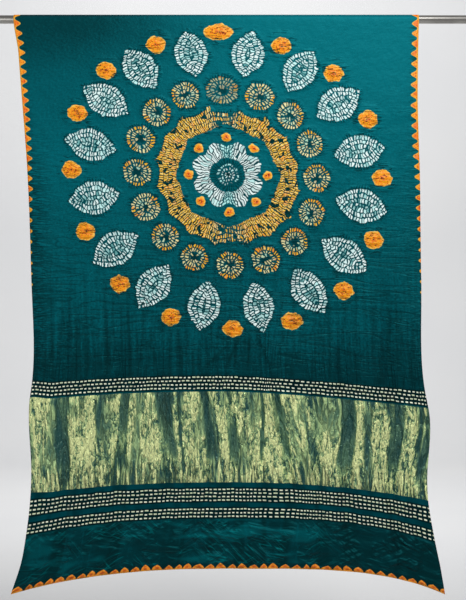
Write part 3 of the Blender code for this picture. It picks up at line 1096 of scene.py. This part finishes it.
@dataclass(frozen=True)
class DashedBand:
    """Silk bands with metal-wrapped threads that float as rows of short dashes over a dark ground."""

    teal: str = "#003c45"
    ground: str = "#000506"
    dash: str = "#faffe6"
    dash_shade: str = "#c2d4a6"
    row_pitch: float = 0.0082
    dash_pitch: float = 0.0093
    # Each band of dashes: its first row's middle, and how many rows it has
    bands: tuple[tuple[float, int], ...] = ((0.8155, 4), (1.0705, 4), (1.1155, 3))

    def material(self) -> bpy.types.Material:
        """Returns the finish: pale gold dashes that glint, on near-black green between teal strips."""
        band = Drawing("silk_woven_with_metal_dashes")
        waver = band.noise(45.0)
        down = band.down + (waver - 0.5) * 0.0022
        clouds = band.noise(30.0, Detail=3.0)
        band.colour = band.mix(clouds.rises(0.35, 0.70), self.teal, "#002a31")
        metal = None
        for first, count in self.bands:
            rows = (down - first) / self.row_pitch + 0.5
            row = math.floor(rows)
            salt = row + first * 50.0
            dice_row = band.grow("ShaderNodeTexWhiteNoise", salt, noise_dimensions="1D", out="Value")
            seats = band.across / self.dash_pitch + dice_row * 0.5 + (waver - 0.5) * 0.5
            seat = math.floor(seats)
            key = band.grow("ShaderNodeCombineXYZ", salt, seat, 0.0)
            dice = band.grow("ShaderNodeTexWhiteNoise", key, noise_dimensions="2D", out="Value")
            high = abs(rows - row - 0.5 + (dice - 0.5) * 0.16).falls(0.12, 0.23)
            wide = abs(seats - seat - 0.5).falls(dice * 0.12 + 0.17, dice * 0.12 + 0.30)
            on = high * wide * rows.rises(0.0, 0.05) * rows.falls(count - 0.05, float(count))
            band.lay(rows.rises(-0.20, -0.05) * rows.falls(count + 0.05, count + 0.20) * 0.92, self.ground)
            tone = band.mix(dice.rises(0.2, 1.0) * 0.6, self.dash, self.dash_shade)
            # Dashes dim in patches, partly painted shade of the folds and partly random tone
            band.lay(on * (waver * 1.8 + dice * 0.4).at_most(1.0), tone)
            metal = on if metal is None else metal.at_least(on)
        slub = band.drawn_out(700.0, 120.0, Detail=1.0)
        pleats = band.drawn_out(75.0, 14.0)
        pressed = band.bump(metal * 0.5 + pleats * 1.2, 0.8, 0.0012)
        return band.finish(
            Roughness=slub * 0.10 + 0.36,
            Metallic=metal * 0.25,
            IOR=1.54,
            Specular_IOR_Level=0.4,
            Specular_Tint=linear("#2fb4bb"),
            Normal=band.bump(slub, 0.15, 0.0003, pressed),
        )


@dataclass(frozen=True)
class MetallicTissue:
    """Tissue of teal silk warp and flat gilt weft, stiff and creased as paper is."""

    # light is a painted highlight for the crowns, and teal, the warp's own colour, is laid as painted shade
    # in the valleys
    light: str = "#f6ffb6"
    middle: str = "#acca8e"
    olive: str = "#537a62"
    teal: str = "#164a4c"

    def material(self) -> bpy.types.Material:
        """Returns the finish: green-gold gilt and teal warp, with painted highlights on the crowns, painted
        shade in the valleys and sharp small creases.
        """
        tissue = Drawing("silk_and_gilt_tissue")
        down = tissue.down
        valley_and_painted_shade = tissue.grow("ShaderNodeAttribute", out="Fac", attribute_name="valley_and_painted_shade").maths("POWER", 1.7)
        broad = tissue.drawn_out(26.0, 4.5, Detail=1.0, Roughness=0.4, Distortion=0.5)
        streaks = tissue.drawn_out(85.0, 18.0, Distortion=0.9)
        gather = tissue.drawn_out(150.0, 16.0, Detail=1.0, Distortion=0.6)

        # Crumples 8 mm wide and 18 mm long, whose flat facets each get their own painted light and shade
        leaning = {"Scale": (125.0, 55.0, 1.0), "Rotation": (0.0, 0.0, 0.12)}
        crumple = tissue.grow("ShaderNodeMapping", tissue.cloth, sockets=leaning)
        shove = tissue.noise(0.8, crumple, out="Color")
        shifted = tissue.grow("ShaderNodeMix", 0.25, crumple, shove, data_type="VECTOR")
        cells = partial(tissue.grow, "ShaderNodeTexVoronoi", shifted, voronoi_dimensions="2D")
        facets = cells(out="Color", sockets={"Scale": 1.3})
        facets = tissue.grow("ShaderNodeSeparateColor", facets, out="Red")
        ridge = cells(feature="DISTANCE_TO_EDGE", sockets={"Scale": 1.3})
        flecks = tissue.noise(1.7, crumple, Roughness=0.6, Distortion=0.6)

        foot = down.rises(0.985, 1.030)
        head = down.falls(0.856, 0.880)
        calm = valley_and_painted_shade.rises(0.35, 0.90)
        rough = broad.rises(0.36, 0.56) * (1.0 - calm * 0.8)
        # Painted light and shade: the shade attribute darkens valleys and strips, the noise lights and shades
        # the crowns, and the right side is darker
        bright = (broad - 0.5) * 2.4 * (1.0 - foot * 0.5) + (streaks - 0.5) * (rough * 1.6 + 1.4)
        crushed = (facets - 0.5) * 0.9 + (flecks - 0.5) * 3.0 - ridge.falls(0.02, 0.10) * 0.6 + 0.15
        bright = bright + crushed * rough + (gather - 0.5) * (foot * 3.6 + head * 2.4)
        bright = bright * (1.0 - calm * 0.75) + 0.84 - valley_and_painted_shade * 0.90
        bright = bright - tissue.across.rises(0.28, 0.44) * 0.22
        tissue.colour = tissue.mix(bright.rises(-0.15, 0.25), self.teal, self.olive)
        tissue.lay(bright.rises(0.20, 0.70), self.middle)
        tissue.lay(bright.rises(0.82, 1.10), self.light)
        # Painted shade in the creases, the crumples and the gathers at the foot
        creases = tissue.line(streaks, 20.0)
        tissue.lay(creases * broad.falls(0.46, 0.60) * 0.75, "#14382e")
        tissue.lay(flecks.falls(0.34, 0.42) * rough * 0.5, "#3c6650")
        tissue.lay(tissue.line(gather, 12.0) * foot * 0.75, "#0a2624")
        height = streaks * 2.0 + facets * 0.5 + ridge * 0.8 + flecks * (rough * 1.4 + 1.0)
        height = height + gather * foot * 1.2 + broad * 2.0 - creases * 0.3
        return tissue.finish(
            Roughness=facets * 0.2 + 0.26,
            Metallic=0.25,
            Specular_IOR_Level=0.9,
            Specular_Tint=linear("#dcf2c4"),
            Normal=tissue.bump(height, 1.0, 0.0030),
        )


@dataclass(frozen=True)
class BandhaniCloth:
    """The whole length of cloth as one fine sheet: front fall, bend over the rod and back fall."""

    thickness: float = 0.0006
    columns: int = 232
    bend_steps: int = 12
    front_rows: tuple[Rows, ...] = (
        Rows(0.000, BAND_TOP, 92),
        Rows(BAND_TOP, PANEL_TOP, 5),
        Rows(PANEL_TOP, PANEL_BOTTOM, 32),
        Rows(PANEL_BOTTOM, BAND_BOTTOM, 9),
        Rows(BAND_BOTTOM, FRONT_LENGTH, 15),
    )
    back_rows: tuple[Rows, ...] = (Rows(0.000, BACK_LENGTH, 36),)

    def stations(self, zones: Sequence[Rows]) -> np.ndarray:
        """Distances down a fall, evenly spaced in each zone, without the fall's own start."""
        return np.concatenate([np.linspace(z.start, z.end, z.steps + 1)[1:] for z in zones])

    def weft_at(self, down: np.ndarray, table: Sequence[Weft]) -> Weft:
        """Reads a fall's table at each distance down it."""
        places = [weft.down for weft in table]
        return Weft(*(smooth_curve(down, places, column) for column in zip(*table)))

    def along_weft(self, share: np.ndarray, weft: Weft) -> tuple[np.ndarray, np.ndarray]:
        """Finds a place on a weft line.

        Args:
            share: The place, as a share of half the width.
            weft: The weft line.

        Returns:
            X, and how much lower than the middle the place lies.
        """
        x = (weft.left + weft.right) / 2 + share * (weft.right - weft.left) / 2
        left = weft.left_drop * np.maximum(-share, 0.0) ** weft.left_bend
        right = weft.right_drop * np.maximum(share, 0.0) ** weft.right_bend
        return x, left + right

    def profile(self, across: np.ndarray, middle: float, width: float) -> np.ndarray:
        """1 at a fold's middle and 0 at its feet."""
        return 0.5 * (1.0 + np.cos(np.pi * np.clip(np.abs(across - middle) / (width / 2), 0.0, 1.0)))

    def lean(self, across: np.ndarray, down: np.ndarray) -> np.ndarray:
        """How far right of its place a column lies, as the folds beside it lean."""
        edge = CLOTH_WIDTH / 2
        places = [-edge] + [fold.across for fold in FOLDS] + [edge]
        leans = [0.0] + [fold.lean for fold in FOLDS] + [0.0]
        return smooth_curve(across, places, leans) * smooth_curve(down, LEAN_STATIONS, LEAN_SHARES)

    def valleys(self, across: np.ndarray, down: np.ndarray) -> np.ndarray:
        """How far the main folds take the front fall back from its plane."""
        total = np.zeros(np.broadcast(across, down).shape)
        for fold in FOLDS:
            shown = between(down, fold.top, FADE_LENGTH, fold.bottom + FADE_LENGTH, FADE_LENGTH)
            total += fold.depth * self.profile(across, fold.across, fold.width) * shown
        return total

    def crinkles(self, across: np.ndarray, down: np.ndarray) -> np.ndarray:
        """How far the metallic panel's small folds stand out towards the viewer."""
        places = wandering(across, down, 0.010, 0.060, 0.070, 1)
        broad = ridges(places, down, 0.034, 0.170, 2) * 0.0030
        small = ridges(places, down, 0.014, 0.080, 3) * 0.0022
        panel = between(down, PANEL_TOP - 0.016, 0.030, PANEL_BOTTOM + 0.010, 0.024)
        head = between(down, PANEL_TOP - 0.010, 0.012, 0.895, 0.040)
        bands = between(down, PANEL_BOTTOM, 0.010, 1.190, 0.060)
        gathered = 0.0030 * self.foot(down) + 0.0020 * head + 0.0010 * bands
        return (broad + small) * panel + self.gathers(across, down) * gathered

    def gathers(self, across: np.ndarray, down: np.ndarray) -> np.ndarray:
        """The narrow upright gathers at the panel's edges, from 0 in their hollows to 1 on their crests."""
        return ridges(wandering(across, down, 0.010, 0.060, 0.070, 1), down, 0.0125, 0.300, 4)

    def foot(self, down: np.ndarray) -> np.ndarray:
        """How strongly the panel is gathered towards its lower edge."""
        return between(down, 0.975, 0.070, PANEL_BOTTOM + 0.020, 0.030)

    def turned(self, across: np.ndarray, down: np.ndarray) -> np.ndarray:
        """How far each place of the panel is turned from the light, from 0 to 1."""
        places = wandering(across, down, 0.009, 0.050, 0.050, 11)
        share = (down - PANEL_TOP) / (PANEL_BOTTOM - PANEL_TOP)
        total = np.zeros(np.broadcast(across, down).shape)
        for strip in STRIPS:
            middle = strip.top + (strip.bottom - strip.top) * share
            away = np.abs(places - middle) / (strip.width / 2)
            total = np.maximum(total, strip.turned * smooth_step((1.25 - away) / 0.5))
        return total

    def soft_fold_shade(self, across: np.ndarray, down: np.ndarray) -> np.ndarray:
        """How much painted shade each place gets in the soft upright folds above the panel, from 0 to 1."""
        places = wandering(across, down, 0.006, 0.050, 0.120, 13)
        begins = smooth_step((down - SOFT_FOLDS_TOP) / 0.180)
        total = np.zeros(np.broadcast(across, down).shape)
        for place, width, depth in SOFT_FOLDS:
            total = np.maximum(total, self.profile(places, place, width) * begins * depth / DEEPEST_SOFT_FOLD)
        return total * (0.35 + 0.65 * lumps(across, down, 0.030, 0.080, 14))

    def soft_folds(self, across: np.ndarray, down: np.ndarray) -> np.ndarray:
        """How far the soft folds above the panel and the slow swell of the silk stand out."""
        total = 0.0016 * (lumps(across, down, 0.090, 0.110, 5) - 0.5) * smooth_step(down / 0.100)
        shown = between(down, SOFT_FOLDS_TOP, 0.160, PANEL_TOP + 0.020, 0.040)
        for place, width, depth in SOFT_FOLDS:
            total = total - depth * self.profile(across, place, width) * shown
        tugs = ridges(across, down, 0.070, 0.016, 6) * 0.0014
        sides = smooth_step((np.abs(across) - 0.300) / 0.120)
        return total + tugs * sides * between(down, 0.10, 0.10, 0.82, 0.10)

    def along_crease(
        self, across: np.ndarray, down: np.ndarray, crease: Crease, width: float
    ) -> np.ndarray:
        """How strongly each place lies in one crease, from 0 to 1, where it is drawn with a given width."""
        run_x, run_y = crease.to_across - crease.across, crease.to_down - crease.down
        length = math.hypot(run_x, run_y)
        off_x, off_y = across - crease.across, down - crease.down
        share = (off_x * run_x + off_y * run_y) / length**2
        away = np.abs(off_x * run_y - off_y * run_x) / length
        taper = smooth_step(share / 0.3) * smooth_step((1.0 - share) / 0.3)
        return 0.5 * (1.0 + np.cos(np.pi * np.clip(away / width, 0.0, 1.0))) * taper

    def fan(self, across: np.ndarray, down: np.ndarray) -> np.ndarray:
        """How much painted shade each place gets beside the creases that fan out above the panel, from 0 to
        1.
        """
        total = np.zeros(np.broadcast(across, down).shape)
        for crease in CREASES:
            if crease.down < BAND_TOP:
                total = np.maximum(total, self.along_crease(across + 0.006, down, crease, 0.006))
        return total

    def pressed(self, across: np.ndarray, down: np.ndarray) -> np.ndarray:
        """How far the drawn creases and the hem's loose waves stand out."""
        total = np.zeros(np.broadcast(across, down).shape)
        for crease in CREASES:
            total += crease.depth * self.along_crease(across, down, crease, crease.width)
        hem = smooth_step((down - 1.130) / 0.040)
        total += 0.0030 * (ridges(across - 0.8 * down, down, 0.040, 0.050, 7) - 0.5) * hem
        return total

    def flare(self, share: np.ndarray, down: np.ndarray | float) -> np.ndarray:
        """How far left the left edge runs out where the cloth turns over the rod."""
        return 0.0085 * smooth_step((-share - 0.55) / 0.45) * smooth_step(1.0 - down / 0.085)

    def front(self, across: np.ndarray, down: np.ndarray) -> tuple[np.ndarray, np.ndarray]:
        """Places the front fall's vertices.

        Args:
            across: The columns' places, as one row.
            down: The rows' places, as one column.

        Returns:
            The vertices' positions, and how much painted shade each gets, from 0 to 1.
        """
        share = (across + self.lean(across, down)) / (CLOTH_WIDTH / 2)
        x, drop = self.along_weft(share, self.weft_at(down, FRONT_WEFTS))
        beside = between(down, 0.700, 0.090, 1.100, 0.080)
        drop = drop - 0.0075 * smooth_step((-share - 0.885) / 0.110) * beside
        x = x - self.flare(share, down)
        valley_and_painted_shade = self.valleys(across, down)
        standing = self.crinkles(across, down) + self.soft_folds(across, down) + self.pressed(across, down)
        grown = smooth_step((down - CORNER_START) / (FRONT_LENGTH - CORNER_START))
        pull = CORNER_REACH * grown * np.abs(share) ** CORNER_POWER
        in_panel = between(down, PANEL_TOP - 0.012, 0.024, PANEL_BOTTOM + 0.012, 0.024)
        turned = self.turned(across, down) * (1.0 - 0.55 * self.foot(down))
        y = -BEND_RADIUS + valley_and_painted_shade - pull - standing * smooth_step(down / 0.060) + 0.0022 * turned * in_panel
        # Painted shade: in the panel, the strips turned from the light, the gathers' hollows and random
        # lumps; above the bands, the soft folds and beside the creases
        hollows = (1.0 - self.gathers(across, down)) * self.foot(down)
        small = lumps(across, down, 0.024, 0.090, 12) - 0.5
        depth = np.clip(turned + 0.45 * hollows + 0.5 * small, 0.0, 1.0)
        above = np.maximum(self.soft_fold_shade(across, down), self.fan(across, down))
        depth = np.where(down < BAND_TOP, above, depth)
        return np.stack([x, y, -(down + drop)], -1), depth

    def back(self, across: np.ndarray, down: np.ndarray) -> np.ndarray:
        """Places the back fall's vertices, which hang in the same slow folds as the solid's."""
        share = across / (CLOTH_WIDTH / 2) + 0.0 * down
        x, drop = self.along_weft(share, self.weft_at(down, BACK_WEFTS))
        grown = smooth_step(down / BACK_LENGTH)
        swell = sum(fold.behind * self.profile(across, fold.across, fold.width) for fold in FOLDS) * grown
        slack = 0.0020 * lumps(across, down, 0.080, 0.200, 8) * smooth_step(down / 0.100)
        return np.stack([x - self.flare(share, down), BEND_RADIUS + swell + slack, -(down + drop)], -1)

    def build(self) -> bpy.types.Object:
        """Models the sheet with its maps and zones; dress gives it its thickness.

        Returns:
            The cloth's object.
        """
        across = np.linspace(-CLOTH_WIDTH / 2, CLOTH_WIDTH / 2, self.columns + 1)[None, :]
        down = self.stations(self.front_rows)[::-1, None]
        front, valley_and_painted_shade = self.front(across, down)
        turn = np.linspace(0.0, math.pi, self.bend_steps + 1)[:, None]
        bend = np.stack(
            [
                across - self.flare(across / (CLOTH_WIDTH / 2), 0.0) + 0.0 * turn,
                -BEND_RADIUS * np.cos(turn) + 0.0 * across,
                BEND_RADIUS * np.sin(turn) + 0.0 * across,
            ],
            -1,
        )
        behind = self.stations(self.back_rows)[:, None]
        points = np.concatenate([front, bend, self.back(across, behind)])
        places = np.concatenate([down[:, 0], -turn[:, 0] * BEND_RADIUS, -BEND_LENGTH - behind[:, 0]])
        rows, columns = points.shape[:2]

        index = np.arange(rows * columns).reshape(rows, columns)
        faces = np.stack([index[:-1, :-1], index[:-1, 1:], index[1:, 1:], index[1:, :-1]], -1).reshape(-1, 4)
        mesh = bpy.data.meshes.new("cloth_sheet")
        mesh.from_pydata(points.reshape(-1, 3).tolist(), [], faces.tolist())
        self.add_maps(mesh, faces, across, places, columns)
        # The painted shade that the finishes read, stored on each vertex
        depth = np.zeros((rows, columns))
        depth[: len(valley_and_painted_shade)] = valley_and_painted_shade
        mesh.attributes.new("valley_and_painted_shade", "FLOAT", "POINT").data.foreach_set("value", depth.ravel())
        middle = np.repeat((places[:-1] + places[1:]) / 2, columns - 1)
        zone = np.full(len(middle), Zone.DYED.value)
        zone[(middle > BAND_TOP) & (middle < BAND_BOTTOM)] = Zone.DASHED.value
        zone[(middle > PANEL_TOP) & (middle < PANEL_BOTTOM)] = Zone.METALLIC.value
        mesh.polygons.foreach_set("material_index", zone)
        mesh.shade_smooth()
        cloth = bpy.data.objects.new("cloth_sheet", mesh)
        bpy.context.scene.collection.objects.link(cloth)
        return cloth

    def add_maps(
        self, mesh: bpy.types.Mesh, faces: np.ndarray, across: np.ndarray, places: np.ndarray, columns: int
    ) -> None:
        """Adds the map of the cloth's own places, which every finish reads.

        Args:
            mesh: The sheet's mesh.
            faces: The vertices of each face.
            across: The columns' places.
            places: The rows' places.
            columns: How many columns of vertices there are.
        """
        u = np.broadcast_to(across, (len(places), columns))
        v = np.broadcast_to(places[:, None], (len(places), columns))
        corners = np.stack([part.ravel()[faces.ravel()] for part in (u, v)], -1)
        mesh.uv_layers.new(name="Cloth").uv.foreach_set("vector", corners.astype(np.float32).ravel())

    def dress(self, cloth: bpy.types.Object) -> None:
        """Gives the cloth its thickness and finishes, hangs it on the root body and hides the CAD cloth in
        its place.
        """
        for finish in (TiedSilk(), DashedBand(), MetallicTissue()):
            cloth.data.materials.append(finish.material())
        thicken = cloth.modifiers.new("thickness", "SOLIDIFY")
        thicken.thickness = self.thickness
        thicken.offset = 0.0
        activate(cloth)
        bpy.ops.object.modifier_apply(modifier=thicken.name)
        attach(cloth, Body.ROOT.value)
        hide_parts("cloth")


@dataclass(frozen=True)
class Studio:
    """A plain pale room, soft lights and the camera at the photograph's angle."""

    floor_height: float = -1.640
    room_depth: float = 6.5
    room_width: float = 16.0
    view_height: float = 1.3644
    view_across: float = 0.034
    view_down: float = -0.640
    distance: float = 3.0

    def paper(self) -> bpy.types.Material:
        """Returns matt pale paper, with faint mottling."""
        material, grow = new_material("pale_backdrop_paper")
        place = grow("ShaderNodeTexCoord", out="Object")
        clouds = grow("ShaderNodeTexNoise", sockets={"Vector": place, "Scale": 1.2, "Detail": 2.0})
        tone = grow("ShaderNodeMix", clouds, linear("#dcdcdc"), linear("#d2d3d5"), data_type="RGBA")
        surface = grow("ShaderNodeBsdfPrincipled", sockets={"Base Color": tone, "Roughness": 0.9})
        return finish_material(material, surface)

    def room(self) -> None:
        """Builds the floor and the backdrop as one sheet that curves up behind."""
        curve = [math.radians(a) for a in range(0, 91, 6)]
        radius = 1.5
        side = [(-9.0, self.floor_height)]
        side += [
            (self.room_depth - radius + radius * math.sin(a), self.floor_height + radius * (1 - math.cos(a)))
            for a in curve
        ]
        side.append((self.room_depth, 6.0))
        half = self.room_width / 2
        points = [(x, y, z) for y, z in side for x in (-half, half)]
        faces = [(2 * i, 2 * i + 1, 2 * i + 3, 2 * i + 2) for i in range(len(side) - 1)]
        mesh = bpy.data.meshes.new("room")
        mesh.from_pydata(points, [], faces)
        mesh.shade_smooth()
        room = bpy.data.objects.new("room", mesh)
        bpy.context.scene.collection.objects.link(room)
        room.data.materials.append(self.paper())
        room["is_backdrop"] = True

    def lamp(
        self, name: str, place: Sequence[float], aim: Sequence[float], size: float, power: float
    ) -> None:
        """Hangs one square soft light that faces a point."""
        light = bpy.data.lights.new(name, "AREA")
        light.size = size
        light.energy = power
        stand = bpy.data.objects.new(name, light)
        stand.location = place
        stand.rotation_euler = (Vector(aim) - Vector(place)).to_track_quat("-Z", "Y").to_euler()
        stand.visible_camera = False
        bpy.context.scene.collection.objects.link(stand)

    def light(self) -> None:
        """Sets the room's even light, the key from the upper right and a weak fill."""
        world = bpy.data.worlds.new("room_light")
        world.use_nodes = True
        background = world.node_tree.nodes["Background"]
        background.inputs["Color"].default_value = (1.0, 1.0, 1.0, 1.0)
        background.inputs["Strength"].default_value = 0.26
        bpy.context.scene.world = world
        self.lamp("key", (0.80, -2.2, 1.30), (0.0, 0.0, -0.5), 0.8, 62.0)
        self.lamp("fill", (-2.2, -2.6, -0.3), (0.0, 0.0, -0.8), 1.8, 14.0)
        self.lamp("backdrop", (0.0, 2.6, 2.4), (0.0, 6.5, -0.6), 4.0, 200.0)

    def camera(self) -> None:
        """Sets the camera square on to the cloth, as in the photograph."""
        data = bpy.data.cameras.new("camera")
        data.sensor_width = 36.0
        data.lens = data.sensor_width * self.distance / self.view_height
        camera = bpy.data.objects.new("camera", data)
        camera.location = (self.view_across, -(self.distance + BEND_RADIUS), self.view_down)
        camera.rotation_euler = (math.pi / 2, 0.0, 0.0)
        bpy.context.scene.collection.objects.link(camera)
        bpy.context.scene.camera = camera

    def build(self) -> None:
        """Builds the whole studio."""
        self.room()
        self.light()
        self.camera()
        bpy.context.scene.view_settings.view_transform = "Standard"


def corners() -> list[list[float]]:
    """The object's lowest and highest corners, as plain numbers."""
    return [[float(value) for value in corner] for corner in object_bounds()]


def main() -> None:
    """Builds the rod, the cloth and the studio."""
    logging.basicConfig(level=logging.INFO, format="%(name)s: %(message)s")
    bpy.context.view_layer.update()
    rod_maker = HangingRod()
    rod = rod_maker.build()
    rod_maker.dress(rod)
    log.info("rod tube, %d faces", len(rod.data.polygons))
    cloth_maker = BandhaniCloth()
    cloth = cloth_maker.build()
    cloth_maker.dress(cloth)
    log.info("cloth sheet, %d faces", len(cloth.data.polygons))
    Studio().build()
    log.info("studio built")


if __name__ == "__main__":
    main()
